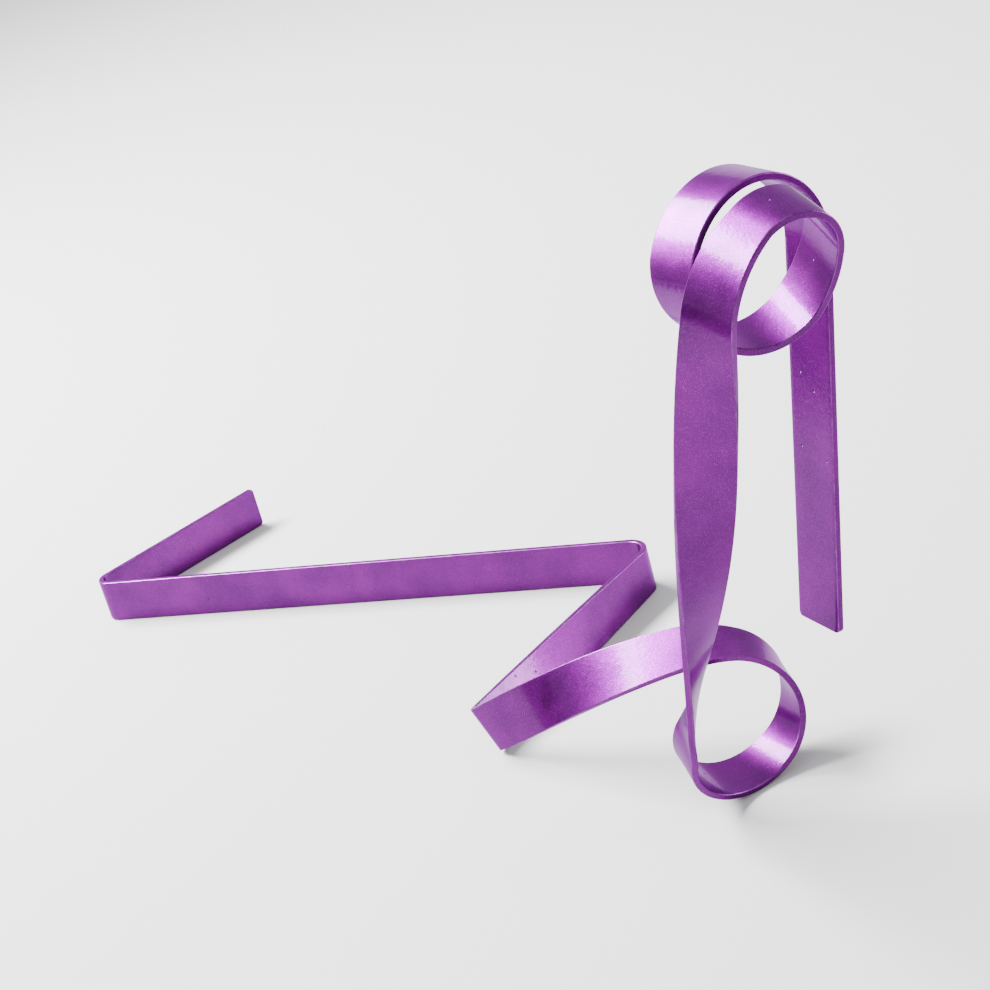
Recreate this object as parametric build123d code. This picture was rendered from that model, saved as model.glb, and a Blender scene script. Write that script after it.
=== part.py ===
from build123d import *
from collections import namedtuple
from math import ceil, cos, degrees, radians, sin
import os

# One flat bar is folded, curled, twisted and coiled into a ribbon that stands by itself.
# Lengths are in millimetres along the middle of the bar and angles are in degrees.
# A positive bend turns towards the bar's back face, and a negative one towards its front face.
# A positive twist turns the bar anticlockwise, as seen when looking along its direction of travel.
Move = namedtuple("Move", "length bend twist")

bar_width = 16.0
bar_thickness = 2.0
arris_radius = 0.4
end_corner_radius = 1.5
longest_step = 4.0

# The foot is a zigzag that stands on the edge of the bar.
end_run_length = 73.5
left_fold_radius = 5.0
left_fold_angle = -117.0
long_run_length = 211.0
right_bend_radius = 7.5
right_bend_angle = 105.0
return_run_move = Move(length=98.0, bend=0.0, twist=-27.5)
front_fold_radius = 3.0
front_fold_angle = -82.0
front_run_move = Move(length=78.0, bend=-36.0, twist=57.5)

# The curl lies on its side, with its lowest point on the ground.
curl_crest_move = Move(length=16.5, bend=-27.0, twist=22.0)
curl_side_move = Move(length=42.0, bend=-133.0, twist=48.0)
curl_bottom_move = Move(length=50.0, bend=-122.0, twist=41.0)

# The upright turns the bar over on its way up.
upright_foot_move = Move(length=10.0, bend=5.0, twist=17.0)
upright_blade_move = Move(length=140.0, bend=11.0, twist=129.0)

# The coil makes about one and a half turns around an open middle.
shoulder_move = Move(length=28.0, bend=58.0, twist=19.0)
front_crest_move = Move(length=32.5, bend=123.0, twist=-18.0)
front_side_move = Move(length=17.0, bend=30.0, twist=1.0)
coil_bottom_move = Move(length=51.0, bend=169.0, twist=-42.0)
back_crest_move = Move(length=67.5, bend=158.0, twist=-12.0)
tail_length = 110.5


def bar_profile():
    """Cross-section of the bar, with its width along X and its thickness along Y."""
    return RectangleRounded(bar_width, bar_thickness, arris_radius)


def advance(station, move):
    """The station reached by bending and twisting at an even rate over one length."""
    forward = Vector(0, 0, move.length)
    turning = Vector(-radians(move.bend), 0, -radians(move.twist))
    angle = turning.length
    if angle == 0:
        return station * Location(forward)
    axis = turning / angle
    along = axis * axis.dot(forward)
    ahead = (forward - along) * (sin(angle) / angle)
    aside = axis.cross(forward) * ((1 - cos(angle)) / angle)
    return station * Location(along + ahead + aside, axis, degrees(angle))


def straight_bar(station, length):
    """A straight length of bar and the station at its far end."""
    solid = station * extrude(bar_profile(), length)
    return solid, advance(station, Move(length, 0.0, 0.0))


def folded_bar(station, radius, angle):
    """A plain bend of the bar about an axis across its width, and the station after it."""
    side = 1 if angle > 0 else -1
    fold_axis = Axis((0, side * radius, 0), (-side, 0, 0))
    solid = station * revolve(bar_profile(), fold_axis, abs(angle))
    return solid, advance(station, Move(radius * radians(abs(angle)), angle, 0.0))


def formed_bar(station, moves):
    """A length of bar that bends and twists through a list of moves, and the station after it."""
    stations = [station]
    for move in moves:
        steps = ceil(move.length / longest_step)
        step = Move(move.length / steps, move.bend / steps, move.twist / steps)
        for _ in range(steps):
            stations.append(advance(stations[-1], step))
    solid = loft([place * bar_profile() for place in stations])
    return solid, stations[-1]


def end_trimmer(length, free_end):
    """A plate with two rounded corners that shapes the free end of a straight length."""
    plate = Pos(0, 0, length / 2) * Box(bar_width, 2 * bar_thickness, length)
    corners = plate.edges().filter_by(Axis.Y).group_by(Axis.Z)[free_end]
    return fillet(corners, end_corner_radius)


def end_run(station):
    """The free length behind the long run, with its end corners rounded."""
    bar, after = straight_bar(station, end_run_length)
    return bar & station * end_trimmer(end_run_length, 0), after


def left_fold(station):
    """The tight fold that brings the bar in front of its own free end."""
    return folded_bar(station, left_fold_radius, left_fold_angle)


def long_run(station):
    """The long straight side of the foot."""
    return straight_bar(station, long_run_length)


def right_bend(station):
    """The open bend that turns the bar back towards the front."""
    return folded_bar(station, right_bend_radius, right_bend_angle)


def return_run(station):
    """The length that comes forward and starts to lean."""
    return formed_bar(station, [return_run_move])


def front_fold(station):
    """The sharpest fold, at the front of the foot."""
    return folded_bar(station, front_fold_radius, front_fold_angle)


def front_run(station):
    """The length that rises from its edge onto its flat towards the curl."""
    return formed_bar(station, [front_run_move])


def curl(station):
    """The open loop under the upright."""
    return formed_bar(station, [curl_crest_move, curl_side_move, curl_bottom_move])


def upright(station):
    """The tall length that makes a half turn between the curl and the coil."""
    return formed_bar(station, [upright_foot_move, upright_blade_move])


def coil_front_turn(station):
    """The first half turn of the coil, from the upright over the top and down the side."""
    return formed_bar(station, [shoulder_move, front_crest_move, front_side_move])


def coil_back_turn(station):
    """The second turn of the coil, round the bottom, behind the upright and over the top again."""
    return formed_bar(station, [coil_bottom_move, back_crest_move])


def tail(station):
    """The free length that hangs from the coil, with its end corners rounded."""
    bar, after = straight_bar(station, tail_length)
    return bar & station * end_trimmer(tail_length, -1), after


def first_station():
    """The free end of the foot, on its edge and aimed so that the long run lies along +X."""
    heading = Vector(1, 0, 0).rotate(Axis.Z, left_fold_angle)
    return Plane(origin=(0, 0, bar_width / 2), x_dir=(0, 0, 1), z_dir=heading).location


def ribbon():
    """Every length of the bar in order, as a dictionary of named solids."""
    station = first_station()
    lengths = {}
    for make in (end_run, left_fold, long_run, right_bend, return_run, front_fold, front_run, curl,
                 upright, coil_front_turn, coil_back_turn, tail):
        lengths[make.__name__], station = make(station)
    return lengths


def on_the_ground(lengths):
    """The same solids, with the middle of their footprint at the origin and the lowest point at Z 0."""
    box = Compound(list(lengths.values())).bounding_box()
    middle = box.center()
    return {name: Pos(-middle.X, -middle.Y, -box.min.Z) * solid for name, solid in lengths.items()}


os.makedirs("parts", exist_ok=True)
for name, solid in on_the_ground(ribbon()).items():
    export_step(solid, f"parts/{name}.step")
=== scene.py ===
from math import ceil, cos, pi, radians, sin, sqrt

import bpy
from mathutils import Matrix, Quaternion, Vector


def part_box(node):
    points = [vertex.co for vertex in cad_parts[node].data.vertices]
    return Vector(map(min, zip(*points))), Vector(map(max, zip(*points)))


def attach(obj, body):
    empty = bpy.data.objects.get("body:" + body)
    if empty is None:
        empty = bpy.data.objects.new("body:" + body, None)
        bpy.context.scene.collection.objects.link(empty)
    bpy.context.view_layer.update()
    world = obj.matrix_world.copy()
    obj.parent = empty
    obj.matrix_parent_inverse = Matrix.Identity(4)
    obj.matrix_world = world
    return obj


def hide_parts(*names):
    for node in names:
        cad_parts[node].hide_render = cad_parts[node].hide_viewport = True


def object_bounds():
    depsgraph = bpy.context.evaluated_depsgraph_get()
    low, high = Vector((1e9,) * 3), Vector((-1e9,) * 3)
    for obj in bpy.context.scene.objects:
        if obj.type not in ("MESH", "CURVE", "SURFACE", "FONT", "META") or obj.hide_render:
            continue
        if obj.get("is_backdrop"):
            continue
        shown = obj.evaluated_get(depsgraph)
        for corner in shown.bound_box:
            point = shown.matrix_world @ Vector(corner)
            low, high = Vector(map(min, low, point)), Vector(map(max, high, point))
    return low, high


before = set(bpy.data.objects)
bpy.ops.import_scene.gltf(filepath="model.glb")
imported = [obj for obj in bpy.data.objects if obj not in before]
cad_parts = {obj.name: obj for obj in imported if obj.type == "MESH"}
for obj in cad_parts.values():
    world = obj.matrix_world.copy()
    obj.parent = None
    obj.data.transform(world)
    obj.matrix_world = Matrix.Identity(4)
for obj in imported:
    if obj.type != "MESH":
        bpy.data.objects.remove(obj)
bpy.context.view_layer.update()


# ---------------------------------------------------------------- sizes, in metres and degrees
bar_width = 0.016
bar_thickness = 0.002
arris_radius = 0.0004
end_corner_radius = 0.0015
end_arris = 0.00025
longest_step = 0.0008
width_columns = 14
arris_columns = 4
corner_steps = 9
end_arris_steps = 4
largest_arris_share = 0.49
no_turn = 1e-9


def fold(radius, angle):
    """A plain bend of one radius, as (length, bend, twist)."""
    return [(radius * radians(abs(angle)), angle, 0.0)]


def straight(length):
    """A straight length, as (length, bend, twist)."""
    return [(length, 0.0, 0.0)]


left_fold_angle = -117.0
lengths_of_bar = [
    ("end_run", straight(0.0735)),
    ("left_fold", fold(0.005, left_fold_angle)),
    ("long_run", straight(0.211)),
    ("right_bend", fold(0.0075, 105.0)),
    ("return_run", [(0.098, 0.0, -27.5)]),
    ("front_fold", fold(0.003, -82.0)),
    ("front_run", [(0.078, -36.0, 57.5)]),
    ("curl", [(0.0165, -27.0, 22.0), (0.042, -133.0, 48.0), (0.050, -122.0, 41.0)]),
    ("upright", [(0.010, 5.0, 17.0), (0.140, 11.0, 129.0)]),
    ("coil_front_turn", [(0.028, 58.0, 19.0), (0.0325, 123.0, -18.0), (0.017, 30.0, 1.0)]),
    ("coil_back_turn", [(0.051, 169.0, -42.0), (0.0675, 158.0, -12.0)]),
    ("tail", straight(0.1105)),
]


# ---------------------------------------------------------------- the line of the bar
def advance(place, move):
    """The place reached by bending and twisting at an even rate over one length."""
    length, bend, twist = move
    forward = Vector((0, 0, length))
    turning = Vector((-radians(bend), 0, -radians(twist)))
    angle = turning.length
    if angle < no_turn:
        return place @ Matrix.Translation(forward)
    axis = turning / angle
    along = axis * axis.dot(forward)
    ahead = (forward - along) * (sin(angle) / angle)
    aside = axis.cross(forward) * ((1 - cos(angle)) / angle)
    turn = Quaternion(axis, angle).to_matrix().to_4x4()
    return place @ Matrix.Translation(along + ahead + aside) @ turn


def first_place():
    """The free end of the foot, found from the box of its CAD node."""
    low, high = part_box("end_run")
    heading = Vector((cos(radians(left_fold_angle)), sin(radians(left_fold_angle)), 0))
    upward = Vector((0, 0, 1))
    across = heading.cross(upward)
    half = bar_thickness / 2
    origin = Vector((high.x - half * abs(across.x),
                     high.y - half * abs(across.y),
                     (low.z + high.z) / 2))
    turn = Matrix((upward, across, heading)).transposed().to_4x4()
    return Matrix.Translation(origin) @ turn


def places_along(place, moves):
    """Places at short steps along the moves, with the distance of each from the first."""
    found = [(0.0, place)]
    for length, bend, twist in moves:
        steps = ceil(length / longest_step)
        move = (length / steps, bend / steps, twist / steps)
        for _ in range(steps):
            done, here = found[-1]
            found.append((done + length / steps, advance(here, move)))
    return found


def narrowing(distance, radius):
    """How far a round corner of that radius draws in at a distance from the end."""
    if distance >= radius:
        return 0.0
    return radius - sqrt(radius ** 2 - (radius - distance) ** 2)


def section(width, thickness):
    """Points, normals and arris weights around a rounded rectangle, in the bar's own X and Y."""
    radius = min(arris_radius, largest_arris_share * thickness)
    reach_x = width / 2 - radius
    reach_y = thickness / 2 - radius
    points = []
    for quarter, (side_x, side_y) in enumerate(((1, 1), (-1, 1), (-1, -1), (1, -1))):
        for step in range(arris_columns + 1):
            angle = pi / 2 * (quarter + step / arris_columns)
            normal = Vector((cos(angle), sin(angle), 0))
            centre = Vector((side_x * reach_x, side_y * reach_y, 0))
            # The weight is highest in the middle of each arris, where the paler colour of thinner
            # paint and a painted highlight goes.
            weight = sin(pi * step / arris_columns)
            points.append((centre + radius * normal, normal, weight))
        if side_x == side_y:
            direction = Vector((0, side_y, 0))
            for column in range(1, width_columns):
                share = column / width_columns
                x = side_x * reach_x * (1 - 2 * share)
                points.append((Vector((x, side_y * thickness / 2, 0)), direction, 0.0))
    return points


def eased(depth, steps, first):
    """Distances from zero to a depth that are closest together near zero."""
    return [depth * (1 - cos(pi / 2 * step / steps)) for step in range(first, steps + 1)]


def swept_piece(name, place, moves, free_start, free_end):
    """A mesh of one length of the bar that stands for its CAD node, and the place after it."""
    found = places_along(place, moves)
    total = found[-1][0]
    is_end = free_start or free_end
    if is_end:
        # A free end is straight, so places nearer together can be put along it.
        extra = eased(end_corner_radius, corner_steps, 0) + eased(end_arris, end_arris_steps, 1)
        distances = [total - d for d in extra] if free_end else extra
        kept = [d for d, _ in found if (total - d if free_end else d) > end_corner_radius]
        found = [(d, advance(place, (d, 0.0, 0.0))) for d in sorted(set(distances + kept))]
    vertices = []
    normals = []
    weights = []
    for distance, here in found:
        to_end = total - distance if free_end else distance
        corner = narrowing(to_end, end_corner_radius) if is_end else 0.0
        soft = narrowing(to_end, end_arris) if is_end else 0.0
        turn = here.to_3x3()
        width = bar_width - 2 * max(corner, soft)
        thickness = bar_thickness - 2 * soft
        for point, normal, weight in section(width, thickness):
            vertices.append(here @ point)
            normals.append(turn @ normal)
            # At the very tip of a free end every point takes the full paler arris colour of thinner
            # paint and a painted highlight.
            weights.append(max(weight, 1.0 if is_end and to_end < end_arris else 0.0))
    ring = len(section(bar_width, bar_thickness))
    faces = []
    for row in range(len(found) - 1):
        for column in range(ring):
            after = (column + 1) % ring
            faces.append((row * ring + column, row * ring + after,
                          (row + 1) * ring + after, (row + 1) * ring + column))
    if free_start:
        faces.append(tuple(reversed(range(ring))))
    if free_end:
        first = (len(found) - 1) * ring
        faces.append(tuple(range(first, first + ring)))
    mesh = bpy.data.meshes.new(name)
    mesh.from_pydata(vertices, [], faces)
    mesh.update()
    # This attribute places the paler arris colour: partly thinner paint, partly a painted highlight
    # along the edges.
    edge_paint_and_highlight = mesh.attributes.new("arris", "FLOAT", "POINT")
    edge_paint_and_highlight.data.foreach_set("value", weights)
    for face in mesh.polygons:
        face.use_smooth = len(face.vertices) == 4
    if not is_end:
        mesh.normals_split_custom_set_from_vertices(normals)
    piece = bpy.data.objects.new("bar_" + name, mesh)
    bpy.context.scene.collection.objects.link(piece)
    return piece, found[-1][1]


# ---------------------------------------------------------------- the paint
# Colours are linear RGB. A noise is (repeats a metre, detail) and may have a roughness.
# A range is (from low, from high, to low, to high).
specular_tint = (0.70, 0.40, 0.80)
clear_coat_weight, clear_coat_ior = 0.22, 1.5
thin_coat, thick_coat = (0.074, 0.0006, 0.098), (0.112, 0.0022, 0.136)
coat_noise, coat_range = (55.0, 3.0), (0.35, 0.65, 0.0, 1.0)
flake_colour = (0.38, 0.08, 0.52)
flake_noise, flake_range = (5200.0, 1.0), (0.60, 0.76, 0.0, 0.55)
# Paler colour along the arrises: partly thinner paint, partly a painted highlight.
arris_paint_and_highlight_colour = (0.30, 0.10, 0.38)
arris_noise, arris_range = (300.0, 4.0), (0.35, 0.7, 0.05, 0.45)
satin_noise, satin_range = (140.0, 4.0), (0.3, 0.7, 0.32, 0.42)
gloss_noise, gloss_range = (90.0, 3.0), (0.3, 0.7, 0.07, 0.14)
peel_noise, peel_strength, peel_height = (620.0, 3.0, 0.55), 0.38, 0.00010
pit_scale, pit_range, pit_rarity = 290.0, (0.06, 0.13, 1.0, 0.0), 0.84
patch_noise, patch_range = (32.0, 2.0), (0.42, 0.55, 0.0, 1.0)
pit_strength, pit_depth = 1.25, 0.00022


def paint():
    """Glossy metallic purple paint with fine flake, orange peel, small pits, and a paler colour
    along the arrises that is partly thinner paint and partly a painted highlight.
    """
    material = bpy.data.materials.new("metallic purple paint")
    material.use_nodes = True
    nodes = material.node_tree.nodes
    links = material.node_tree.links
    nodes.clear()

    def node(kind, **values):
        made = nodes.new(kind)
        for key, value in values.items():
            setattr(made, key, value)
        return made

    def noise(scale, detail, roughness=0.5):
        made = node("ShaderNodeTexNoise")
        made.inputs["Scale"].default_value = scale
        made.inputs["Detail"].default_value = detail
        made.inputs["Roughness"].default_value = roughness
        links.new(place.outputs["Object"], made.inputs["Vector"])
        return made.outputs["Fac"]

    def ranged(value, limits):
        made = node("ShaderNodeMapRange")
        for key, limit in zip(("From Min", "From Max", "To Min", "To Max"), limits):
            made.inputs[key].default_value = limit
        links.new(value, made.inputs["Value"])
        return made.outputs["Result"]

    def product(first, second):
        made = node("ShaderNodeMath", operation="MULTIPLY")
        links.new(first, made.inputs[0])
        links.new(second, made.inputs[1])
        return made.outputs["Value"]

    def bump(height, strength, distance, **values):
        made = node("ShaderNodeBump", **values)
        made.inputs["Strength"].default_value = strength
        made.inputs["Distance"].default_value = distance
        links.new(height, made.inputs["Height"])
        return made

    def mixed(share, first, second):
        made = node("ShaderNodeMix", data_type="RGBA")
        links.new(share, made.inputs["Factor"])
        for key, value in (("A", first), ("B", second)):
            socket = [s for s in made.inputs if s.name == key and s.type == "RGBA"][0]
            if isinstance(value, tuple):
                socket.default_value = (*value, 1.0)
            else:
                links.new(value, socket)
        return [s for s in made.outputs if s.type == "RGBA"][0]

    place = node("ShaderNodeTexCoord")
    out = node("ShaderNodeOutputMaterial")
    shader = node("ShaderNodeBsdfPrincipled")
    links.new(shader.outputs["BSDF"], out.inputs["Surface"])
    shader.inputs["Metallic"].default_value = 1.0
    shader.inputs["Specular Tint"].default_value = (*specular_tint, 1.0)
    shader.inputs["Coat Weight"].default_value = clear_coat_weight
    shader.inputs["Coat IOR"].default_value = clear_coat_ior

    # Colour: slow unevenness of the coat, fine flake, and a paler colour along the arrises that is
    # partly thinner paint and partly a painted highlight.
    slow = ranged(noise(*coat_noise), coat_range)
    coat = mixed(slow, thin_coat, thick_coat)
    flaked = mixed(ranged(noise(*flake_noise), flake_range), coat, flake_colour)
    edge_paint_and_highlight = node("ShaderNodeAttribute", attribute_name="arris")
    patchy = product(edge_paint_and_highlight.outputs["Fac"], ranged(noise(*arris_noise), arris_range))
    links.new(mixed(patchy, flaked, arris_paint_and_highlight_colour), shader.inputs["Base Color"])

    # Gloss: a satin flake layer under a clear coat that is smoother in some places than in others.
    links.new(ranged(noise(*satin_noise), satin_range), shader.inputs["Roughness"])
    links.new(ranged(noise(*gloss_noise), gloss_range), shader.inputs["Coat Roughness"])

    # Relief: orange peel all over, and a few round pits in patches.
    peel = bump(noise(*peel_noise), peel_strength, peel_height)
    cells = node("ShaderNodeTexVoronoi")
    cells.inputs["Scale"].default_value = pit_scale
    links.new(place.outputs["Object"], cells.inputs["Vector"])
    dot = ranged(cells.outputs["Distance"], pit_range)
    tone = node("ShaderNodeSeparateColor")
    links.new(cells.outputs["Color"], tone.inputs["Color"])
    rare = node("ShaderNodeMath", operation="GREATER_THAN")
    links.new(tone.outputs["Red"], rare.inputs[0])
    rare.inputs[1].default_value = pit_rarity
    patch = product(rare.outputs["Value"], ranged(noise(*patch_noise), patch_range))
    pitted = bump(product(dot, patch), pit_strength, pit_depth, invert=True)
    links.new(peel.outputs["Normal"], pitted.inputs["Normal"])
    links.new(pitted.outputs["Normal"], shader.inputs["Normal"])
    links.new(pitted.outputs["Normal"], shader.inputs["Coat Normal"])
    return material


# ---------------------------------------------------------------- the ribbon
purple = paint()
place_now = first_place()
for position, (name, moves) in enumerate(lengths_of_bar):
    is_first = position == 0
    is_last = position == len(lengths_of_bar) - 1
    piece, place_now = swept_piece(name, place_now, moves, is_first, is_last)
    piece.data.materials.append(purple)
    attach(piece, "root")
    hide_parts(name)


# ---------------------------------------------------------------- floor, light and camera
floor_side, floor_gap = 12.0, 0.0002
floor_grey, floor_roughness, floor_shine = 0.44, 0.8, 0.1
card_width, card_height, card_middle = 0.36, 0.11, 0.056
card_black, card_roughness = (0.01, 0.01, 0.012), 0.9
card_places = (("left", -0.30, -0.25, 110), ("right", 0.47, -0.16, 80))
# Name, azimuth, elevation, distance, width, height and power.
softboxes = (
    ("key softbox", 170.0, 47.0, 1.3, 1.10, 0.44, 175.0),
    ("back panel", 100.0, 12.0, 1.6, 0.50, 0.8, 3.0),
    ("side strip", 27.0, 3.0, 1.4, 0.45, 0.30, 15.0),
    ("top fill", -60.0, 80.0, 1.8, 1.2, 1.2, 8.0),
)
room_colour, room_strength = (0.95, 0.94, 0.97), 1.25
camera_azimuth = -64.56
camera_elevation = 23.25
camera_roll = -15.79
camera_distance = 0.7556
camera_aim = Vector((0.0230, -0.0028, 0.0672))
camera_sensor, camera_lens = 36.0, 86.54


def plane_mesh(name, width, depth):
    """A flat rectangle around its own origin, facing +Z."""
    mesh = bpy.data.meshes.new(name)
    corners = [(-width / 2, -depth / 2, 0), (width / 2, -depth / 2, 0),
               (width / 2, depth / 2, 0), (-width / 2, depth / 2, 0)]
    mesh.from_pydata(corners, [], [(0, 1, 2, 3)])
    sheet = bpy.data.objects.new(name, mesh)
    bpy.context.scene.collection.objects.link(sheet)
    return sheet


def matt_paint(name, colour, roughness):
    """A plain material of one colour, and its shader."""
    material = bpy.data.materials.new(name)
    material.use_nodes = True
    shader = material.node_tree.nodes["Principled BSDF"]
    shader.inputs["Base Color"].default_value = (*colour, 1.0)
    shader.inputs["Roughness"].default_value = roughness
    return material, shader


floor = plane_mesh("floor", floor_side, floor_side)
floor.location.z = -floor_gap
floor_paint, floor_shader = matt_paint("pale floor", (floor_grey,) * 3, floor_roughness)
floor_shader.inputs["Specular IOR Level"].default_value = floor_shine
floor.data.materials.append(floor_paint)
floor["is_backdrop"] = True

card_paint, _ = matt_paint("black card", card_black, card_roughness)
for side, x, y, turn in card_places:
    card = plane_mesh("dark_card_" + side, card_width, card_height)
    card.location = (x, y, card_middle)
    card.rotation_euler = (radians(90), 0, radians(turn))
    card.data.materials.append(card_paint)
    card.visible_camera = False  # it darkens what the ribbon and the floor see
    card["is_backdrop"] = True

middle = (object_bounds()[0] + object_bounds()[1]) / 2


def direction(azimuth, elevation):
    """The direction from the ribbon towards a point at that azimuth and elevation."""
    a = radians(azimuth)
    e = radians(elevation)
    return Vector((cos(e) * cos(a), cos(e) * sin(a), sin(e)))


def softbox(name, azimuth, elevation, distance, width, height, power):
    """A rectangular area light that faces the ribbon."""
    data = bpy.data.lights.new(name, "AREA")
    data.shape = "RECTANGLE"
    data.size = width
    data.size_y = height
    data.energy = power
    light = bpy.data.objects.new(name, data)
    bpy.context.scene.collection.objects.link(light)
    towards = direction(azimuth, elevation)
    light.location = middle + towards * distance
    light.rotation_euler = towards.to_track_quat("Z", "Y").to_euler()
    return light


for settings in softboxes:
    softbox(*settings)

world = bpy.data.worlds.new("pale room")
world.use_nodes = True
background = world.node_tree.nodes["Background"]
background.inputs["Color"].default_value = (*room_colour, 1.0)
background.inputs["Strength"].default_value = room_strength
bpy.context.scene.world = world

camera_data = bpy.data.cameras.new("camera")
camera_data.sensor_width = camera_sensor
camera_data.lens = camera_lens
camera_data.dof.use_dof = False
camera = bpy.data.objects.new("camera", camera_data)
bpy.context.scene.collection.objects.link(camera)
back = direction(camera_azimuth, camera_elevation)
camera.location = camera_aim + back * camera_distance
level = back.to_track_quat("Z", "Y")
rolled = level @ Quaternion((0, 0, 1), radians(camera_roll))
camera.rotation_euler = rolled.to_euler()
bpy.context.scene.camera = camera
